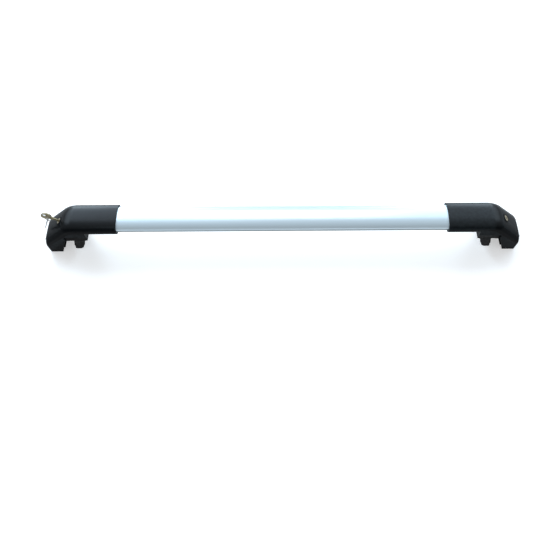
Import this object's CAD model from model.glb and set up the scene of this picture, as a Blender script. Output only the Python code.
"""Looks of a roof rack crossbar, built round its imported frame.

A hollow aerofoil bar stands on two black clamp feet. The frame gives every piece its size and
place. Here each piece gets its finish. The bar and its webs, the clamp bolts, the grooved rubber, the
keys and their ring are surfaces worked out with numpy.
"""

import logging
import math
from dataclasses import dataclass, field
from enum import Enum
from typing import Optional, Sequence

import bmesh
import bpy
import numpy as np
from mathutils import Matrix, Vector


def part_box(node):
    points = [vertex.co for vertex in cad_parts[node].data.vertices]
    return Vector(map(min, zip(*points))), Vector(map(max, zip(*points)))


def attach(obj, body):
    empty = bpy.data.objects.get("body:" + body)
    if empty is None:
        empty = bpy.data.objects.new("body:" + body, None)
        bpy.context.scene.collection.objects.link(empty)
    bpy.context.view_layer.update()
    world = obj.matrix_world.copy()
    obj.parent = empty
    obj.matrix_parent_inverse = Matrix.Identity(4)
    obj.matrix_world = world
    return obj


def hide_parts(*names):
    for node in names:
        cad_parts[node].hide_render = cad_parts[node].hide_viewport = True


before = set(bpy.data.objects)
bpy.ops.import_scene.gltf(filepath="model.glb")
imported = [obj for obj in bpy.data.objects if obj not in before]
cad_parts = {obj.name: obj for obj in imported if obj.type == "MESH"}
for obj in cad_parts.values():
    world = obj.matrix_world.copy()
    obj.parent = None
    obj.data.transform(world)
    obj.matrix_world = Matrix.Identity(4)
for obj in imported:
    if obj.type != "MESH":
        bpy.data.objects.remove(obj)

LOG = logging.getLogger("crossbar")
MM = 0.001
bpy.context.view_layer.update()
BAR_FULLNESS = 2.4


class Side(Enum):
    """Which end of the bar a foot stands at; the value is the sign of its X."""

    LEFT = -1
    RIGHT = 1

    @property
    def word(self) -> str:
        """Name used in the frame's nodes and bodies."""
        return self.name.lower()


class Slot(Enum):
    """Material slots of the record."""

    ALUMINIUM = "anodised_aluminium"
    PLASTIC = "black_plastic"
    CAST = "black_cast"
    RUBBER = "rubber"
    ZINC = "zinc_steel"
    BRASS = "brass"


class GroupBuilder:
    """Makes one shader node group and wires its nodes.

    Args:
        name: the group's name.
    """

    def __init__(self, name: str) -> None:
        self.tree = bpy.data.node_groups.new(name, "ShaderNodeTree")
        self.inlet: Optional[bpy.types.Node] = None
        self.outlet: Optional[bpy.types.Node] = None

    def socket(self, name: str, kind: str, way: str, value: object = None) -> "GroupBuilder":
        """Adds a socket to the group.

        Args:
            name: the socket's name.
            kind: Float, Vector or Color.
            way: INPUT or OUTPUT.
            value: its default.

        Returns:
            The builder itself, so that calls can follow each other.
        """
        made = self.tree.interface.new_socket(name=name, in_out=way, socket_type=f"NodeSocket{kind}")
        if value is not None:
            made.default_value = value
        return self

    def open(self) -> None:
        """Places the group's input and output nodes once its sockets exist."""
        self.inlet = self.tree.nodes.new("NodeGroupInput")
        self.outlet = self.tree.nodes.new("NodeGroupOutput")

    def node(self, kind: str, **settings: object) -> bpy.types.Node:
        """Adds a node.

        Args:
            kind: the node's type, without the ShaderNode prefix.
            settings: attributes to set on it.

        Returns:
            The node.
        """
        return add_node(self.tree, kind, **settings)

    def link(self, source: bpy.types.NodeSocket, target: bpy.types.NodeSocket) -> None:
        """Joins two sockets."""
        self.tree.links.new(source, target)


def add_node(tree: bpy.types.NodeTree, kind: str, **settings: object) -> bpy.types.Node:
    """Adds a node to a tree and sets attributes on it.

    Args:
        tree: the node tree.
        kind: the node's type, without the ShaderNode prefix.
        settings: attributes to set on it.

    Returns:
        The node.
    """
    made = tree.nodes.new(f"ShaderNode{kind}")
    for key, value in settings.items():
        setattr(made, key, value)
    return made


def mix_colors(builder: GroupBuilder, factor, first, second) -> bpy.types.NodeSocket:
    """Mixes two colour sockets by a factor socket and returns the result's socket."""
    mix = builder.node("Mix", data_type="RGBA")
    builder.link(factor, mix.inputs["Factor"])
    builder.link(first, mix.inputs["A"])
    builder.link(second, mix.inputs["B"])
    return mix.outputs["Result"]


def grain_group() -> bpy.types.NodeTree:
    """Fine moulded or cast grain.

    Height is a small noise plus a coarser one at a quarter of its scale. Drift is a slow noise that
    shifts gloss and colour a little over the surface.

    Returns:
        A group with inputs Vector, Grain scale and Drift scale, and outputs Height and Drift.
    """
    group = GroupBuilder("moulded grain")
    group.socket("Vector", "Vector", "INPUT").socket("Grain scale", "Float", "INPUT", 900.0)
    group.socket("Drift scale", "Float", "INPUT", 14.0)
    group.socket("Height", "Float", "OUTPUT").socket("Drift", "Float", "OUTPUT")
    group.open()
    fine = group.node("TexNoise")
    fine.inputs["Detail"].default_value = 3.0
    group.link(group.inlet.outputs["Vector"], fine.inputs["Vector"])
    group.link(group.inlet.outputs["Grain scale"], fine.inputs["Scale"])
    quarter = group.node("Math", operation="MULTIPLY")
    quarter.inputs[1].default_value = 0.25
    group.link(group.inlet.outputs["Grain scale"], quarter.inputs[0])
    coarse = group.node("TexVoronoi")
    group.link(group.inlet.outputs["Vector"], coarse.inputs["Vector"])
    group.link(quarter.outputs[0], coarse.inputs["Scale"])
    total = group.node("Math", operation="MULTIPLY_ADD")
    total.inputs[1].default_value = 0.5
    group.link(coarse.outputs["Distance"], total.inputs[0])
    group.link(fine.outputs["Fac"], total.inputs[2])
    group.link(total.outputs[0], group.outlet.inputs["Height"])
    drift = group.node("TexNoise")
    drift.inputs["Detail"].default_value = 4.0
    group.link(group.inlet.outputs["Vector"], drift.inputs["Vector"])
    group.link(group.inlet.outputs["Drift scale"], drift.inputs["Scale"])
    group.link(drift.outputs["Fac"], group.outlet.inputs["Drift"])
    return group.tree


def wear_group() -> bpy.types.NodeTree:
    """Rubbed edges and settled dust.

    The rub mask is the surface's pointiness above a middle value, broken up by a noise. The dust
    mask is how far the surface faces up, times a cloudy noise. The upward mask tells the faces that
    cloths and weather have polished from the flanks, which keep the mould's matt grain.

    Returns:
        A group with inputs Vector, Base, Rubbed, Dusty, Rub and Dust, and outputs Color and Upward.
    """
    group = GroupBuilder("edge rub and dust")
    group.socket("Vector", "Vector", "INPUT")
    for name in ("Base", "Rubbed", "Dusty"):
        group.socket(name, "Color", "INPUT", (0.5, 0.5, 0.5, 1.0))
    group.socket("Rub", "Float", "INPUT", 0.5).socket("Dust", "Float", "INPUT", 0.2)
    group.socket("Color", "Color", "OUTPUT").socket("Upward", "Float", "OUTPUT")
    group.open()
    shape = group.node("NewGeometry")
    edge = group.node("MapRange", clamp=True)
    edge.inputs["From Min"].default_value = 0.515
    edge.inputs["From Max"].default_value = 0.60
    group.link(shape.outputs["Pointiness"], edge.inputs["Value"])
    broken = group.node("TexNoise")
    broken.inputs["Scale"].default_value = 160.0
    broken.inputs["Detail"].default_value = 5.0
    group.link(group.inlet.outputs["Vector"], broken.inputs["Vector"])
    rubbed = group.node("Math", operation="MULTIPLY", use_clamp=True)
    group.link(edge.outputs["Result"], rubbed.inputs[0])
    group.link(broken.outputs["Fac"], rubbed.inputs[1])
    rub = group.node("Math", operation="MULTIPLY", use_clamp=True)
    group.link(rubbed.outputs[0], rub.inputs[0])
    group.link(group.inlet.outputs["Rub"], rub.inputs[1])
    facing = group.node("SeparateXYZ")
    group.link(shape.outputs["Normal"], facing.inputs["Vector"])
    cloud = group.node("TexNoise")
    cloud.inputs["Scale"].default_value = 34.0
    cloud.inputs["Detail"].default_value = 6.0
    group.link(group.inlet.outputs["Vector"], cloud.inputs["Vector"])
    settled = group.node("Math", operation="MULTIPLY", use_clamp=True)
    group.link(facing.outputs["Z"], settled.inputs[0])
    group.link(cloud.outputs["Fac"], settled.inputs[1])
    dust = group.node("Math", operation="MULTIPLY", use_clamp=True)
    group.link(settled.outputs[0], dust.inputs[0])
    group.link(group.inlet.outputs["Dust"], dust.inputs[1])
    worn = mix_colors(group, rub.outputs[0], group.inlet.outputs["Base"], group.inlet.outputs["Rubbed"])
    dusted = mix_colors(group, dust.outputs[0], worn, group.inlet.outputs["Dusty"])
    group.link(dusted, group.outlet.inputs["Color"])
    upward = group.node("MapRange", clamp=True)
    upward.inputs["From Min"].default_value = 0.74
    upward.inputs["From Max"].default_value = 0.98
    group.link(facing.outputs["Z"], upward.inputs["Value"])
    group.link(upward.outputs["Result"], group.outlet.inputs["Upward"])
    return group.tree


def streak_group() -> bpy.types.NodeTree:
    """Draw lines of an extrusion.

    The position is squeezed along X, so a noise becomes long lines along the bar; a second, wider
    one gives soft bands. Under tells the faces that look down, where road film settles and dulls
    the metal.

    Returns:
        A group with inputs Vector and Line scale, and outputs Height, Bands and Under.
    """
    group = GroupBuilder("draw lines")
    group.socket("Vector", "Vector", "INPUT").socket("Line scale", "Float", "INPUT", 1400.0)
    group.socket("Height", "Float", "OUTPUT").socket("Bands", "Float", "OUTPUT")
    group.socket("Under", "Float", "OUTPUT")
    group.open()
    squeeze = group.node("VectorMath", operation="MULTIPLY")
    squeeze.inputs[1].default_value = (0.004, 1.0, 1.0)
    group.link(group.inlet.outputs["Vector"], squeeze.inputs[0])
    lines = group.node("TexNoise")
    lines.inputs["Detail"].default_value = 2.0
    group.link(squeeze.outputs[0], lines.inputs["Vector"])
    group.link(group.inlet.outputs["Line scale"], lines.inputs["Scale"])
    group.link(lines.outputs["Fac"], group.outlet.inputs["Height"])
    bands = group.node("TexNoise")
    bands.inputs["Scale"].default_value = 190.0
    bands.inputs["Detail"].default_value = 3.0
    group.link(squeeze.outputs[0], bands.inputs["Vector"])
    group.link(bands.outputs["Fac"], group.outlet.inputs["Bands"])
    facing = group.node("SeparateXYZ")
    group.link(group.node("NewGeometry").outputs["Normal"], facing.inputs["Vector"])
    under = group.node("MapRange", clamp=True)
    under.inputs["From Min"].default_value = 0.3
    under.inputs["From Max"].default_value = -0.15
    group.link(facing.outputs["Z"], under.inputs["Value"])
    group.link(under.outputs["Result"], group.outlet.inputs["Under"])
    return group.tree


@dataclass
class EffectShelf:
    """The shader groups that the finishes share, each built once."""

    grain: bpy.types.NodeTree = field(default_factory=grain_group)
    wear: bpy.types.NodeTree = field(default_factory=wear_group)
    streaks: bpy.types.NodeTree = field(default_factory=streak_group)


class MaterialBench:
    """One material being wired: a Principled shader, Object coordinates and a bump node.

    Args:
        slot: the record's slot that it stands for.
    """

    def __init__(self, slot: Slot) -> None:
        self.material = bpy.data.materials.new(slot.value)
        self.material.use_nodes = True
        self.tree = self.material.node_tree
        self.shader = self.tree.nodes["Principled BSDF"]
        self.place = add_node(self.tree, "TexCoord").outputs["Object"]
        self.bump = add_node(self.tree, "Bump")
        self.link(self.bump.outputs["Normal"], self.shader.inputs["Normal"])

    def link(self, source: bpy.types.NodeSocket, target: bpy.types.NodeSocket) -> None:
        """Joins two sockets."""
        self.tree.links.new(source, target)

    def set(self, **values: object) -> None:
        """Sets the shader's own sockets; an underscore in a key stands for a space."""
        for key, value in values.items():
            self.shader.inputs[key.replace("_", " ")].default_value = value

    def effect(self, group: bpy.types.NodeTree, **values: object) -> bpy.types.Node:
        """Places a shared group that reads the Object coordinates.

        Args:
            group: the shared group.
            values: its inputs; an underscore in a key stands for a space.

        Returns:
            The group's node.
        """
        placed = add_node(self.tree, "Group")
        placed.node_tree = group
        for key, value in values.items():
            placed.inputs[key.replace("_", " ")].default_value = value
        self.link(self.place, placed.inputs["Vector"])
        return placed

    def ramp(self, source: bpy.types.NodeSocket, low: float, high: float, target: str) -> None:
        """Maps a mask from 0 and 1 to two values and feeds a socket of the shader with it."""
        span = add_node(self.tree, "MapRange", clamp=True)
        span.inputs["To Min"].default_value = low
        span.inputs["To Max"].default_value = high
        self.link(source, span.inputs["Value"])
        self.link(span.outputs["Result"], self.shader.inputs[target])

    def relief(self, source: bpy.types.NodeSocket, strength: float, depth: float) -> None:
        """Feeds the bump node with a height.

        Args:
            source: the height's socket.
            strength: how much of it shows.
            depth: its depth in metres.
        """
        self.bump.inputs["Strength"].default_value = strength
        self.bump.inputs["Distance"].default_value = depth
        self.link(source, self.bump.inputs["Height"])


@dataclass(frozen=True)
class GrainedFinish:
    """A coated, moulded or rubber surface: base colour, grain, rubbed edges and dust."""

    slot: Slot
    base: tuple
    rubbed: tuple
    dusty: tuple
    rub: float
    dust: float
    gloss: tuple
    grain_scale: float
    grain_depth: float
    grain_strength: float
    metallic: float = 0.0
    specular: float = 0.5
    flank_share: float = 0.08

    def make(self, shelf: EffectShelf) -> bpy.types.Material:
        """Builds the material, which shines fully only where it faces up.

        Args:
            shelf: the shared groups.

        Returns:
            The material.
        """
        bench = MaterialBench(self.slot)
        bench.set(Metallic=self.metallic)
        worn = bench.effect(
            shelf.wear, Base=self.base, Rubbed=self.rubbed, Dusty=self.dusty, Rub=self.rub, Dust=self.dust
        )
        bench.link(worn.outputs["Color"], bench.shader.inputs["Base Color"])
        flank = self.flank_share * self.specular
        bench.ramp(worn.outputs["Upward"], flank, self.specular, "Specular IOR Level")
        grain = bench.effect(shelf.grain, Grain_scale=self.grain_scale)
        bench.ramp(grain.outputs["Drift"], self.gloss[0], self.gloss[1], "Roughness")
        bench.relief(grain.outputs["Height"], self.grain_strength, self.grain_depth)
        return bench.material


@dataclass(frozen=True)
class DrawnMetal:
    """Anodised extruded metal with draw lines along X and road film underneath."""

    slot: Slot
    base: tuple
    banded: tuple
    soiled: tuple
    gloss: tuple
    line_depth: float
    metallic: float

    def make(self, shelf: EffectShelf) -> bpy.types.Material:
        """Builds the material.

        Args:
            shelf: the shared groups.

        Returns:
            The material.
        """
        bench = MaterialBench(self.slot)
        bench.set(Anisotropic=0.35)
        lines = bench.effect(shelf.streaks)
        tint = add_node(bench.tree, "Mix", data_type="RGBA")
        tint.inputs["A"].default_value = self.base
        tint.inputs["B"].default_value = self.banded
        bench.link(lines.outputs["Bands"], tint.inputs["Factor"])
        film = add_node(bench.tree, "Mix", data_type="RGBA")
        film.inputs["B"].default_value = self.soiled
        bench.link(tint.outputs["Result"], film.inputs["A"])
        bench.link(lines.outputs["Under"], film.inputs["Factor"])
        bench.link(film.outputs["Result"], bench.shader.inputs["Base Color"])
        bench.ramp(lines.outputs["Under"], self.metallic, 0.05, "Metallic")
        bench.ramp(lines.outputs["Under"], 0.5, 0.06, "Specular IOR Level")
        bench.ramp(lines.outputs["Bands"], self.gloss[0], self.gloss[1], "Roughness")
        bench.relief(lines.outputs["Height"], 0.35, self.line_depth)
        return bench.material


FINISHES = (
    DrawnMetal(
        Slot.ALUMINIUM, base=(0.57, 0.68, 0.74, 1.0), banded=(0.65, 0.76, 0.82, 1.0),
        soiled=(0.10, 0.12, 0.12, 1.0), gloss=(0.28, 0.38), line_depth=0.00002, metallic=0.5,
    ),
    GrainedFinish(
        Slot.PLASTIC, base=(0.0025, 0.0028, 0.0032, 1.0), rubbed=(0.035, 0.045, 0.05, 1.0),
        dusty=(0.012, 0.016, 0.020, 1.0), rub=0.5, dust=0.2, gloss=(0.24, 0.34), specular=0.19,
        grain_scale=1500.0, grain_depth=0.00006, grain_strength=0.35,
    ),
    GrainedFinish(
        Slot.CAST, base=(0.004, 0.004, 0.004, 1.0), rubbed=(0.12, 0.12, 0.12, 1.0),
        dusty=(0.05, 0.05, 0.045, 1.0), rub=0.6, dust=0.12, gloss=(0.40, 0.58), specular=0.12,
        grain_scale=700.0, grain_depth=0.00012, grain_strength=0.4, metallic=0.1,
    ),
    GrainedFinish(
        Slot.RUBBER, base=(0.004, 0.004, 0.004, 1.0), rubbed=(0.02, 0.02, 0.018, 1.0),
        dusty=(0.03, 0.029, 0.027, 1.0), rub=0.5, dust=0.2, gloss=(0.66, 0.86), specular=0.12,
        grain_scale=2200.0, grain_depth=0.00005, grain_strength=0.3,
    ),
    GrainedFinish(
        Slot.ZINC, base=(0.40, 0.405, 0.41, 1.0), rubbed=(0.62, 0.62, 0.62, 1.0),
        dusty=(0.35, 0.34, 0.30, 1.0), rub=0.5, dust=0.15, gloss=(0.22, 0.42),
        grain_scale=1100.0, grain_depth=0.00004, grain_strength=0.25, metallic=1.0,
    ),
    GrainedFinish(
        Slot.BRASS, base=(0.17, 0.145, 0.085, 1.0), rubbed=(0.46, 0.39, 0.25, 1.0),
        dusty=(0.15, 0.12, 0.09, 1.0), rub=0.8, dust=0.2, gloss=(0.24, 0.46),
        grain_scale=1300.0, grain_depth=0.00005, grain_strength=0.3, metallic=1.0,
    ),
)


class Wardrobe:
    """All materials of the object, by slot."""

    def __init__(self) -> None:
        shelf = EffectShelf()
        self.made = {finish.slot: finish.make(shelf) for finish in FINISHES}

    def dress(self, piece: bpy.types.Object, slot: Slot, body: str, *nodes: str) -> None:
        """Gives a new piece its material, body, slot and the nodes that it stands for."""
        piece.data.materials.clear()
        piece.data.materials.append(self.made[slot])
        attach(piece, body)
        if nodes:
            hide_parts(*nodes)
        LOG.info("%s rides on %s in %s", piece.name, body, slot.value)

    def repaint(self, node: str, slot: Slot) -> None:
        """Gives a node of the frame its material."""
        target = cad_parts[node]
        target.data.materials.clear()
        target.data.materials.append(self.made[slot])


def to_object(name: str, points: np.ndarray, faces: np.ndarray, sharp_deg: float = 40.0) -> bpy.types.Object:
    """Puts worked-out points and faces into a new object with smooth shading.

    Args:
        name: the piece's name.
        points: an array of positions in metres.
        faces: an array of corner indices, three or four to a face.
        sharp_deg: edges sharper than this stay crisp.

    Returns:
        The object, linked to the scene.
    """
    mesh = bpy.data.meshes.new(name)
    mesh.from_pydata(points.tolist(), [], faces.tolist())
    piece = bpy.data.objects.new(name, mesh)
    bpy.context.scene.collection.objects.link(piece)
    tidy_mesh(piece, sharp_deg)
    return piece


def tidy_mesh(piece: bpy.types.Object, sharp_deg: float) -> None:
    """Merges doubles, points the faces outwards and shades smooth between crisp edges."""
    work = bmesh.new()
    work.from_mesh(piece.data)
    bmesh.ops.remove_doubles(work, verts=work.verts, dist=1e-6)
    bmesh.ops.recalc_face_normals(work, faces=work.faces)
    work.to_mesh(piece.data)
    work.free()
    piece.data.polygons.foreach_set("use_smooth", np.ones(len(piece.data.polygons), bool))
    piece.data.set_sharp_from_angle(angle=math.radians(sharp_deg))


def softened(node: str, width: float = 0.4, segments: int = 2, sharp_deg: float = 24.0) -> bpy.types.Object:
    """Copies a node's solid, joins its flat faces and rounds its edges.

    Args:
        node: the frame's node.
        width: the rounding in millimetres.
        segments: steps across the rounding.
        sharp_deg: edges sharper than this are rounded.

    Returns:
        The new piece.
    """
    piece = bpy.data.objects.new(f"{node}_dressed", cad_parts[node].data.copy())
    bpy.context.scene.collection.objects.link(piece)
    work = bmesh.new()
    work.from_mesh(piece.data)
    bmesh.ops.remove_doubles(work, verts=work.verts, dist=2e-6)
    bmesh.ops.dissolve_limit(
        work, angle_limit=math.radians(1.0), verts=work.verts, edges=work.edges, delimit={"NORMAL"}
    )
    work.to_mesh(piece.data)
    work.free()
    piece.data.polygons.foreach_set("use_smooth", np.ones(len(piece.data.polygons), bool))
    bevel = piece.modifiers.new("rounding", "BEVEL")
    bevel.width = width * MM
    bevel.segments = segments
    bevel.limit_method = "ANGLE"
    bevel.angle_limit = math.radians(sharp_deg)
    bevel.harden_normals = False
    flatten = piece.modifiers.new("even normals", "WEIGHTED_NORMAL")
    flatten.keep_sharp = True
    return piece


@dataclass
class Bar:
    """The hollow aerofoil extrusion."""

    wardrobe: Wardrobe
    columns: int = 160
    web_gap: float = 29.0 * MM
    wall: float = 2.2 * MM

    def outline(self, inset: float) -> np.ndarray:
        """Section of the bar.

        Y is the half width times the cosine, and Z the half thickness times the sine, each raised
        to 2 over the fullness with its sign kept.

        Args:
            inset: how far inside the outer face, in metres.

        Returns:
            Points (Y, Z) round the section.
        """
        low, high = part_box("bar_extrusion")
        turn = np.linspace(0.0, 2.0 * np.pi, self.columns, endpoint=False)
        y = (high[1] - low[1]) / 2 - inset
        z = (high[2] - low[2]) / 2 - inset
        middle = (high[2] + low[2]) / 2
        return np.stack(
            [y * signed_power(np.cos(turn), 2 / BAR_FULLNESS),
             middle + z * signed_power(np.sin(turn), 2 / BAR_FULLNESS)], axis=-1
        )

    def build(self) -> None:
        """Runs the outer section along the bar and closes it with the section's own wall."""
        low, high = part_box("bar_extrusion")
        stations = np.array([low[0], low[0] + 0.3 * MM, 0.0, high[0] - 0.3 * MM, high[0]])
        outer = self.outline(0.0)
        inner = self.outline(self.wall)
        rings = [tube_ring(x, outer) for x in stations]
        rings += [tube_ring(x, inner) for x in stations[::-1]]
        piece = to_object("bar_skin", *closed_rings(np.stack(rings)), sharp_deg=50.0)
        self.wardrobe.dress(piece, Slot.ALUMINIUM, "root", "bar_extrusion")
        for side in Side:
            self.web(side)

    def web(self, side: Side) -> None:
        """Stands one of the two inner webs between the bar's floor and roof.

        Half its thickness is half the wall, plus a fillet of 1.4 mm times the height over the half
        height, raised to 10, so it flares where it meets the walls that it is sunk in.

        Args:
            side: which of the two webs; the left one lies towards -Y.
        """
        low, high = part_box("bar_extrusion")
        middle = (low[2] + high[2]) / 2
        reach = (high[2] - low[2]) / 2 - 1.18 * self.wall
        share = np.linspace(-1.0, 1.0, 25)
        half = self.wall / 2 + 1.4 * MM * np.abs(share) ** 10
        centre = side.value * self.web_gap / 2
        z = middle + reach * share
        front = np.stack([centre - half, z], axis=-1)
        back = np.stack([centre + half, z], axis=-1)
        points, faces = swept_pair(front, back, (high[0] - low[0]) / 2 - 0.1 * MM, 0.2 * MM)
        piece = to_object(f"bar_web_{side.word}", points[:, [2, 0, 1]], faces)
        self.wardrobe.dress(piece, Slot.ALUMINIUM, "root")


def signed_power(value: np.ndarray, power: float) -> np.ndarray:
    """Raises the size of a value to a power and keeps its sign."""
    return np.sign(value) * np.abs(value) ** power


def tube_ring(x: float, section: np.ndarray) -> np.ndarray:
    """Places a (Y, Z) section at X."""
    return np.concatenate([np.full((len(section), 1), x), section], axis=1)


def closed_rings(rings: np.ndarray) -> tuple:
    """Joins rings into a surface that closes both round each ring and from the last to the first.

    Args:
        rings: an array of positions, ring by ring.

    Returns:
        Its points and its four-cornered faces.
    """
    count, around = rings.shape[:2]
    row = np.arange(count)[:, None]
    column = np.arange(around)[None, :]
    next_row = (row + 1) % count
    next_column = (column + 1) % around
    faces = np.stack(
        [row * around + column, next_row * around + column,
         next_row * around + next_column, row * around + next_column], axis=-1
    )
    return rings.reshape(-1, 3), faces.reshape(-1, 4)


def open_rings(rings: np.ndarray) -> tuple:
    """Joins rings into a surface that closes round each ring and runs from the first to the last.

    The first and the last ring have shrunk to a point or a line, so merging doubles closes them.

    Args:
        rings: an array of positions, ring by ring.

    Returns:
        Its points and its four-cornered faces.
    """
    points, faces = closed_rings(rings)
    return points, faces[: (rings.shape[0] - 1) * rings.shape[1]]


def triangle_wave(phase: np.ndarray) -> np.ndarray:
    """Wave that is 1 at whole phases and 0 half way between them."""
    return np.abs(2.0 * (phase - np.floor(phase)) - 1.0)


def swept_pair(front: np.ndarray, back: np.ndarray, half: float, ease: float) -> tuple:
    """Sweeps the section between two lines of equal count sideways and closes its ends.

    Each end is eased by a small chamfer and then shrinks to the line midway between the two, point
    by point, so grooves in a line don't fold the end's face.

    Args:
        front: points (A, B) along one line of the section.
        back: points along the other, in the same order.
        half: half the sweep.
        ease: the chamfer's size.

    Returns:
        Points (A, B, sweep) and faces.
    """
    loop = np.concatenate([front, back[::-1]])
    middle = (front + back) / 2
    spine = np.concatenate([middle, middle[::-1]])
    inward = spine - loop
    length = np.maximum(np.linalg.norm(inward, axis=1, keepdims=True), 1e-9)
    eased = loop + inward / length * ease
    sections = [spine, eased, loop, loop, eased, spine]
    places = [-half, -half, ease - half, half - ease, half, half]
    rings = np.stack(
        [np.concatenate([s, np.full((len(s), 1), y)], axis=1) for s, y in zip(sections, places)]
    )
    return open_rings(rings)


@dataclass
class ClampBolt:
    """The M8 socket head bolt of one foot, cut with its thread and knurl."""

    wardrobe: Wardrobe
    side: Side
    around: int = 96
    pitch: float = 1.25 * MM
    thread_depth: float = 0.62 * MM
    radius: float = 4.0 * MM
    head_radius: float = 6.5 * MM
    head_height: float = 8.0 * MM
    key_across: float = 6.0 * MM
    knurls: int = 48
    knurl_share: float = 0.03
    threaded: float = 44.0 * MM
    tip_chamfer: float = 1.0 * MM
    groove_radius: float = 3.2 * MM
    groove_play: float = 0.1 * MM

    def thread(self, turn: np.ndarray) -> tuple:
        """Works out the threaded part from the bolt's tip.

        The radius is the major radius less the depth times a triangle wave of the distance over
        the pitch less the turn, and the tip is chamfered at 45 degrees.

        Args:
            turn: angles round the axis.

        Returns:
            Distances from the tip, and radii for every distance and angle.
        """
        along = np.arange(0.0, self.threaded, self.pitch / 6)
        wave = triangle_wave(along[:, None] / self.pitch - turn[None, :] / (2 * np.pi))
        fade = np.clip((self.threaded - along) / (2 * self.pitch), 0.0, 1.0)[:, None]
        radii = self.radius - self.thread_depth * fade * wave
        return along, np.minimum(radii, self.radius - self.tip_chamfer + along[:, None])

    def hexagon(self, turn: np.ndarray) -> np.ndarray:
        """Radius of the socket: half its width over the cosine of the angle from each flat."""
        sixth = np.pi / 3
        return self.key_across / 2 / np.cos(np.mod(turn, sixth) - sixth / 2)

    def shank(self, start: float, end: float, under: float) -> list:
        """Plain part between the thread and the head, with the clip's groove.

        Args:
            start: where the clip begins, from the bolt's tip.
            end: where it ends.
            under: where the head begins.

        Returns:
            Pairs of a distance from the tip and a radius.
        """
        start -= self.groove_play
        end += self.groove_play
        return [
            (self.threaded, self.radius), (start, self.radius), (start, self.groove_radius),
            (end, self.groove_radius), (end, self.radius), (under, self.radius),
        ]

    def head(self, turn: np.ndarray, under: float) -> list:
        """Head with eased edges, a knurled band and the hexagonal socket with a drilled bottom.

        Args:
            turn: angles round the axis.
            under: where the head begins, from the bolt's tip.

        Returns:
            Pairs of a distance from the tip and a radius, or radii by angle.
        """
        wide = self.head_radius
        knurl = wide * (1.0 - self.knurl_share * triangle_wave(turn * self.knurls / (2 * np.pi)))
        socket = self.hexagon(turn)
        top = under + self.head_height
        bottom = top - self.head_height / 2
        return [
            (under, wide - 0.5 * MM), (under + 0.5 * MM, wide), (under + 1.2 * MM, wide),
            (under + 1.5 * MM, knurl), (top - 1.6 * MM, knurl), (top - 1.2 * MM, wide - 0.1 * MM),
            (top - 0.3 * MM, wide - 0.7 * MM), (top, wide - 1.2 * MM), (top, 1.2 * self.key_across / 2),
            (top - 0.4 * MM, socket), (bottom, socket), (bottom - 0.8 * MM, 0.0),
        ]

    def build(self) -> None:
        """Runs the radii along the axis: thread, shank with the clip's groove, head and socket."""
        name = f"{self.side.word}_clamp_bolt"
        low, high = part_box(name)
        clip_low, clip_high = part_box(f"{self.side.word}_bolt_clip")
        tip = low[0] if self.side is Side.RIGHT else high[0]
        under = high[0] - low[0] - self.head_height
        start, end = sorted(abs(x - tip) for x in (clip_low[0], clip_high[0]))
        turn = np.linspace(0.0, 2 * np.pi, self.around, endpoint=False)
        along, radii = self.thread(turn)
        steps = self.shank(start, end, under) + self.head(turn, under)
        plain = np.ones_like(turn)
        places = np.concatenate([[0.0], along, [step[0] for step in steps]])
        sizes = np.concatenate([[0.0 * plain], radii, np.stack([step[1] * plain for step in steps])])
        middle = [(a + b) / 2 for a, b in zip(low, high)]
        x = tip + self.side.value * places[:, None] * plain[None, :]
        y = middle[1] + sizes * np.cos(turn)
        z = middle[2] + sizes * np.sin(turn)
        piece = to_object(f"{name}_cut", *open_rings(np.stack([x, y, z], axis=-1)), sharp_deg=32.0)
        self.wardrobe.dress(piece, Slot.ZINC, f"{self.side.word}_bolt", name)


@dataclass
class RibbedPad:
    """A rubber facing on a leaning face, with grooves across it.

    The face leans in X as it goes down. The grooved line stands back from the face by the depth
    times half of one less the cosine of the distance down over the pitch.
    """

    wardrobe: Wardrobe
    node: str
    body: str
    outwards: int
    thickness: float = 3.0 * MM
    groove: float = 0.6 * MM
    pitch: float = 3.5 * MM

    def build(self) -> None:
        """Works out the grooved line and the plain one, and sweeps them across the foot."""
        low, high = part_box(self.node)
        sign = 1.0 if high[0] > 0 else -1.0
        near, distant = sorted(abs(x) for x in (low[0], high[0]))
        down = np.linspace(0.0, 1.0, 121)
        z = high[2] - (high[2] - low[2]) * down
        inner = near + (distant - self.thickness - near) * down
        outer = inner + self.thickness
        phase = (high[2] - low[2]) * down / self.pitch
        cut = self.groove * (0.5 - 0.5 * np.cos(2 * np.pi * phase))
        if self.outwards > 0:
            outer = outer - cut
        else:
            inner = inner + cut
        front = np.stack([sign * inner, z], axis=-1)
        back = np.stack([sign * outer, z], axis=-1)
        points, faces = swept_pair(front, back, (high[1] - low[1]) / 2, 0.5 * MM)
        piece = to_object(f"{self.node}_ribbed", points[:, [0, 2, 1]], faces, sharp_deg=50.0)
        self.wardrobe.dress(piece, Slot.RUBBER, self.body, self.node)


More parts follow.
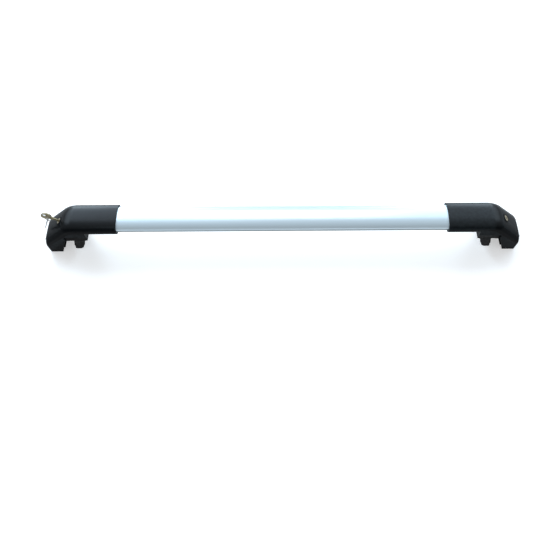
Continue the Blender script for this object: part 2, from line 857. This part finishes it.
@dataclass
class Foot:
    """One clamp foot with its flap, lock and jaw."""

    wardrobe: Wardrobe
    side: Side

    def node(self, part: str) -> str:
        """Full name of one of the foot's nodes."""
        return f"{self.side.word}_{part}"

    def soften(self, part: str, slot: Slot, body: str, width: float = 0.4) -> None:
        """Replaces one node by its rounded copy."""
        name = self.node(part)
        owner = body if body == "root" else self.node(body)
        self.wardrobe.dress(softened(name, width), slot, owner, name)

    def build(self) -> None:
        """Dresses every piece of the foot."""
        self.soften("foot_shell", Slot.PLASTIC, "root", 0.6)
        self.soften("end_cover", Slot.PLASTIC, "flap", 0.4)
        self.soften("clamp_body", Slot.CAST, "root", 0.8)
        self.soften("inner_jaw", Slot.CAST, "jaw", 1.0)
        self.soften("saddle_pad", Slot.RUBBER, "root", 0.6)
        RibbedPad(self.wardrobe, self.node("leg_pad"), "root", outwards=-1).build()
        RibbedPad(self.wardrobe, self.node("jaw_pad"), self.node("jaw"), outwards=1).build()
        ClampBolt(self.wardrobe, self.side).build()
        for part in ("cover_pin", "bar_screws", "shell_screws"):
            self.wardrobe.repaint(self.node(part), Slot.ZINC)
        for part in ("jaw_nut", "bolt_washer", "bolt_clip", "lock_cam", "cam_screw"):
            self.wardrobe.repaint(self.node(part), Slot.ZINC)
        self.soften("lock_housing", Slot.CAST, "flap", 0.3)
        self.soften("lock_plug", Slot.BRASS, "lock", 0.2)


@dataclass(frozen=True)
class CutKey:
    """A flat key: round bow with a ring hole and a raised rim, collar, and a blade with cuts.

    Its own coordinates have the ring hole's middle as the origin, A across the key and B towards
    the bow's top.
    """

    node: str
    slot: Slot
    hole: np.ndarray
    across: tuple
    upwards: tuple
    reach: float
    bow_radius: float = 11.0 * MM
    bow_drop: float = 5.0 * MM
    hole_radius: float = 3.8 * MM
    half_thick: float = 1.1 * MM
    half_blade: float = 3.5 * MM
    half_collar: float = 5.0 * MM
    half_tip: float = 1.6 * MM
    half_least: float = 0.6 * MM
    collar: tuple = (-20.0 * MM, -12.0 * MM)
    cuts_below: float = -22.0 * MM
    root_sunk: float = 3.0 * MM
    rim_raise: float = 0.3 * MM
    rim_ease: float = 0.25 * MM
    cut_pitch: float = 3.2 * MM
    flat_share: float = 0.66
    cut_depths: tuple = (1.1, 2.0, 0.7, 1.6, 2.2, 1.2, 1.8)

    def placed(self, points: np.ndarray) -> np.ndarray:
        """Turns points (A, B, thickness) into places in the frame."""
        across = np.array(self.across)
        upwards = np.array(self.upwards)
        axes = np.stack([across, upwards, np.cross(across, upwards)])
        return self.hole + points @ axes

    def bow(self) -> tuple:
        """Runs a section from the hole's edge to the bow's edge all the way round.

        At each angle the section lies on the line between the two circles' points at that angle.
        Its half thickness is full at both rims and less in the field between them.
        """
        share = np.array([0.0, 0.03, 0.14, 0.2, 0.8, 0.86, 0.97, 1.0])
        ease, sunk = self.rim_ease, self.rim_raise
        half = self.half_thick - np.array([ease, 0.0, 0.0, sunk, sunk, 0.0, 0.0, ease])
        loop_share = np.concatenate([share, share[::-1]])
        loop_half = np.concatenate([half, -half[::-1]])
        turn = np.linspace(0.0, 2 * np.pi, 72, endpoint=False)[:, None]
        inner = self.hole_radius * (1 - loop_share)
        outer = self.bow_radius * loop_share
        a = (inner + outer) * np.cos(turn)
        b = (inner + outer) * np.sin(turn) - self.bow_drop * loop_share
        rings = np.stack([a, b, np.broadcast_to(loop_half, a.shape)], axis=-1)
        return closed_rings(rings)

    def blade(self) -> tuple:
        """Sweeps the blade's two edges through its thickness; one edge carries the cuts.

        Each cut is a triangle wave of the distance from the tip over the pitch, flattened above a
        share of its height, times the depth of the cut it falls in.
        """
        top = -self.bow_drop - self.root_sunk
        b = np.linspace(-self.reach, top, 260)
        in_collar = (b > self.collar[0]) & (b < self.collar[1])
        width = np.where(in_collar, self.half_collar, self.half_blade)
        tip = np.minimum(width, self.half_tip + (b + self.reach))
        down = (b + self.reach) / self.cut_pitch
        depths = np.array(self.cut_depths)
        which = np.minimum(down.astype(int), len(depths) - 1)
        notch = 1.0 - triangle_wave(down)
        cut = depths[which] * MM * np.minimum(notch, self.flat_share) / self.flat_share
        toothed = np.where(b < self.cuts_below, np.maximum(tip - cut, self.half_least), tip)
        plain = np.stack([-tip, b], axis=-1)
        cuts = np.stack([toothed, b], axis=-1)
        return swept_pair(plain, cuts, self.half_thick, 0.2 * MM)

    def build(self, wardrobe: Wardrobe) -> None:
        """Joins bow and blade in one piece, the blade's root sunk in the bow."""
        bow_points, bow_faces = self.bow()
        blade_points, blade_faces = self.blade()
        points = self.placed(np.concatenate([bow_points, blade_points]))
        faces = np.concatenate([bow_faces, blade_faces + len(bow_points)])
        piece = to_object(f"{self.node}_cut", points, faces, sharp_deg=35.0)
        wardrobe.dress(piece, self.slot, "left_lock", self.node)


@dataclass
class KeyBunch:
    """The key in the left lock, with the ring and the spare key that hang from it."""

    wardrobe: Wardrobe
    ring_radius: float = 10.0 * MM
    ring_seat: float = 1.0 * MM
    slope_deg: float = 44.0
    spare_lean_deg: float = 26.0
    strand: float = 0.37 * MM
    ring_turn_deg: float = 34.0

    def split_ring(self) -> None:
        """Winds the ring as two turns of thin wire that lie side by side.

        The middle of the wire goes round at the ring's radius. It stands 0.4 mm to one side for the
        first turn and 0.4 mm to the other for the second, and crosses over in a short smooth step;
        both ends stop short of the crossing.
        """
        low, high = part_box("key_ring")
        middle = [(a + b) / 2 for a, b in zip(low, high)]
        way = np.linspace(0.3, 4 * np.pi - 0.3, 240)
        step = np.clip((way - 2 * np.pi) / 0.28, -1.0, 1.0)
        aside = 0.4 * MM * np.sin(step * np.pi / 2)
        slim = self.strand * np.concatenate([[0.0, 0.8], np.ones(236), [0.8, 0.0]])
        turn = np.linspace(0.0, 2 * np.pi, 14, endpoint=False)
        out = self.ring_radius + slim[:, None] * np.cos(turn)
        side = aside[:, None] + slim[:, None] * np.sin(turn)
        flat = out * np.cos(way)[:, None]
        rise = out * np.sin(way)[:, None]
        lean = math.radians(self.ring_turn_deg)
        x = middle[0] - flat * math.cos(lean) - side * math.sin(lean)
        y = middle[1] + flat * math.sin(lean) - side * math.cos(lean)
        piece = to_object("split_ring", *open_rings(np.stack([x, y, middle[2] + rise], axis=-1)))
        self.wardrobe.dress(piece, Slot.ZINC, "left_lock", "key_ring")

    def build(self) -> None:
        """Cuts the two keys and winds the ring between their holes."""
        low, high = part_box("key_ring")
        middle = np.array([(a + b) / 2 for a, b in zip(low, high)])
        rise = np.array([0.0, 0.0, self.ring_radius + self.ring_seat])
        slope = math.radians(self.slope_deg)
        lean = math.radians(self.spare_lean_deg)
        CutKey(
            "key", Slot.BRASS, middle + rise, reach=41.5 * MM,
            across=(-math.cos(slope), 0.0, -math.sin(slope)),
            upwards=(-math.sin(slope), 0.0, math.cos(slope)),
        ).build(self.wardrobe)
        CutKey(
            "spare_key", Slot.ZINC, middle - rise, reach=34.0 * MM,
            across=(0.0, 1.0, 0.0), upwards=(math.sin(lean), 0.0, math.cos(lean)),
        ).build(self.wardrobe)
        self.split_ring()


@dataclass(frozen=True)
class Panel:
    """A soft panel that stands behind each foot, as far to its side on the left as on the right."""

    name: str
    aside: float
    behind: float
    height: float
    size: tuple
    tint: tuple
    left_watts: float
    right_watts: float


PANELS = (
    Panel("low", 1.35, 2.2, 0.95, (1.0, 1.4), (0.72, 0.88, 1.0), 52.0, 32.0),
    Panel("high", 1.6, 2.0, 2.5, (1.3, 1.5), (0.68, 0.83, 1.0), 34.0, 13.0),
    Panel("corner", 3.0, 1.9, 2.0, (1.8, 2.0), (0.70, 0.86, 1.0), 44.0, 34.0),
)


@dataclass
class Studio:
    """Pale floor, soft light and the camera at the photograph's angle."""

    elevation_deg: float = 60.0
    distance: float = 1.30
    focal_px: float = 602.0
    frame_px: float = 560.0
    centre_px: tuple = (282.4, 218.2)
    roll_deg: float = 0.35
    aim_height: float = 0.086
    sensor_mm: float = 36.0
    floor_reach: float = 8.0
    floor_sides: int = 64
    floor_glow: float = 0.46

    def camera(self) -> None:
        """Places the camera that many degrees above the horizon, looking along +Y at the bar."""
        data = bpy.data.cameras.new("camera")
        data.sensor_width = self.sensor_mm
        data.lens = self.focal_px / self.frame_px * data.sensor_width
        middle = self.frame_px / 2
        data.shift_x = (middle - self.centre_px[0]) / self.frame_px
        data.shift_y = (self.centre_px[1] - middle) / self.frame_px
        eye = bpy.data.objects.new("camera", data)
        rise = math.radians(self.elevation_deg)
        back = Vector((0.0, -math.cos(rise), math.sin(rise)))
        eye.location = Vector((0.0, 0.0, self.aim_height)) + back * self.distance
        look = (-back).to_track_quat("-Z", "Y").to_matrix()
        eye.rotation_euler = (look @ Matrix.Rotation(-math.radians(self.roll_deg), 3, "Z")).to_euler()
        bpy.context.scene.collection.objects.link(eye)
        bpy.context.scene.camera = eye

    def shows_white(self, tree: bpy.types.NodeTree) -> bpy.types.NodeSocket:
        """Mask of the rays that see the ground as plain white: camera, glossy and transmission."""
        path = add_node(tree, "LightPath")
        first = add_node(tree, "Math", operation="MAXIMUM")
        tree.links.new(path.outputs["Is Camera Ray"], first.inputs[0])
        tree.links.new(path.outputs["Is Glossy Ray"], first.inputs[1])
        second = add_node(tree, "Math", operation="MAXIMUM")
        tree.links.new(first.outputs[0], second.inputs[0])
        tree.links.new(path.outputs["Is Transmission Ray"], second.inputs[1])
        return second.outputs[0]

    def floor(self) -> None:
        """Lays the pale floor: a wide disc that keeps the object's shadow."""
        sides = self.floor_sides
        turn = np.linspace(0.0, 2 * np.pi, sides, endpoint=False)
        ring = np.stack([np.cos(turn), np.sin(turn), np.zeros_like(turn)], axis=-1)
        points = np.concatenate([[[0.0, 0.0, 0.0]], ring * self.floor_reach])
        index = np.arange(sides)
        faces = np.stack([np.zeros(sides, int), index + 1, (index + 1) % sides + 1], axis=-1)
        ground = to_object("floor", points, faces)
        material = bpy.data.materials.new("pale floor")
        material.use_nodes = True
        tree = material.node_tree
        shader = tree.nodes["Principled BSDF"]
        shader.inputs["Base Color"].default_value = (0.72, 0.72, 0.72, 1.0)
        shader.inputs["Roughness"].default_value = 0.9
        shader.inputs["Specular IOR Level"].default_value = 0.2
        shader.inputs["Emission Color"].default_value = (1.0, 1.0, 1.0, 1.0)
        glow = add_node(tree, "Math", operation="MULTIPLY")
        glow.inputs[1].default_value = self.floor_glow
        tree.links.new(self.shows_white(tree), glow.inputs[0])
        tree.links.new(glow.outputs[0], shader.inputs["Emission Strength"])
        ground.data.materials.append(material)

    def light(self) -> None:
        """Lights the scene with a pale world, soft panels behind each foot and a window over the bar.

        Each foot's top mirrors its low and high panels, and its shoulder mirrors the corner one.
        """
        world = bpy.data.worlds.new("pale room")
        bpy.context.scene.world = world
        world.use_nodes = True
        tree = world.node_tree
        sky = tree.nodes["Background"]
        mix = add_node(tree, "Mix", data_type="RGBA")
        mix.inputs["A"].default_value = (0.46, 0.48, 0.50, 1.0)
        mix.inputs["B"].default_value = (1.0, 1.0, 1.0, 1.0)
        tree.links.new(add_node(tree, "LightPath").outputs["Is Camera Ray"], mix.inputs["Factor"])
        tree.links.new(mix.outputs["Result"], sky.inputs["Color"])
        for side in Side:
            for panel in PANELS:
                place = (panel.aside * side.value, panel.behind, panel.height)
                power = panel.left_watts if side is Side.LEFT else panel.right_watts
                self.lamp(f"{side.word}_{panel.name}_panel", place, panel.size, panel.tint, power)
        self.lamp("window", (0.0, 1.4, 2.2), (1.4, 0.8), (1.0, 1.0, 1.0), 16.0)

    def lamp(self, name: str, place: tuple, size: tuple, tint: tuple, power: float) -> None:
        """Adds one soft rectangular lamp that faces the bar."""
        data = bpy.data.lights.new(name, "AREA")
        data.shape = "RECTANGLE"
        data.size, data.size_y = size
        data.energy = power
        data.color = tint
        lamp = bpy.data.objects.new(name, data)
        lamp.location = place
        lamp.rotation_euler = (Vector((0, 0, 0.05)) - Vector(place)).to_track_quat("-Z", "Y").to_euler()
        bpy.context.scene.collection.objects.link(lamp)

    def build(self) -> None:
        """Sets up the camera, the floor and the light."""
        bpy.context.scene.view_settings.view_transform = "Standard"
        self.camera()
        self.floor()
        self.light()


def main() -> None:
    """Builds the studio and then the object, sub-assembly by sub-assembly."""
    logging.basicConfig(level=logging.INFO, format="%(name)s: %(message)s")
    Studio().build()
    wardrobe = Wardrobe()
    feet = [Foot(wardrobe, side) for side in Side]
    parts: Sequence = (Bar(wardrobe), *feet, KeyBunch(wardrobe))
    for part in parts:
        part.build()


if __name__ == "__main__":
    main()
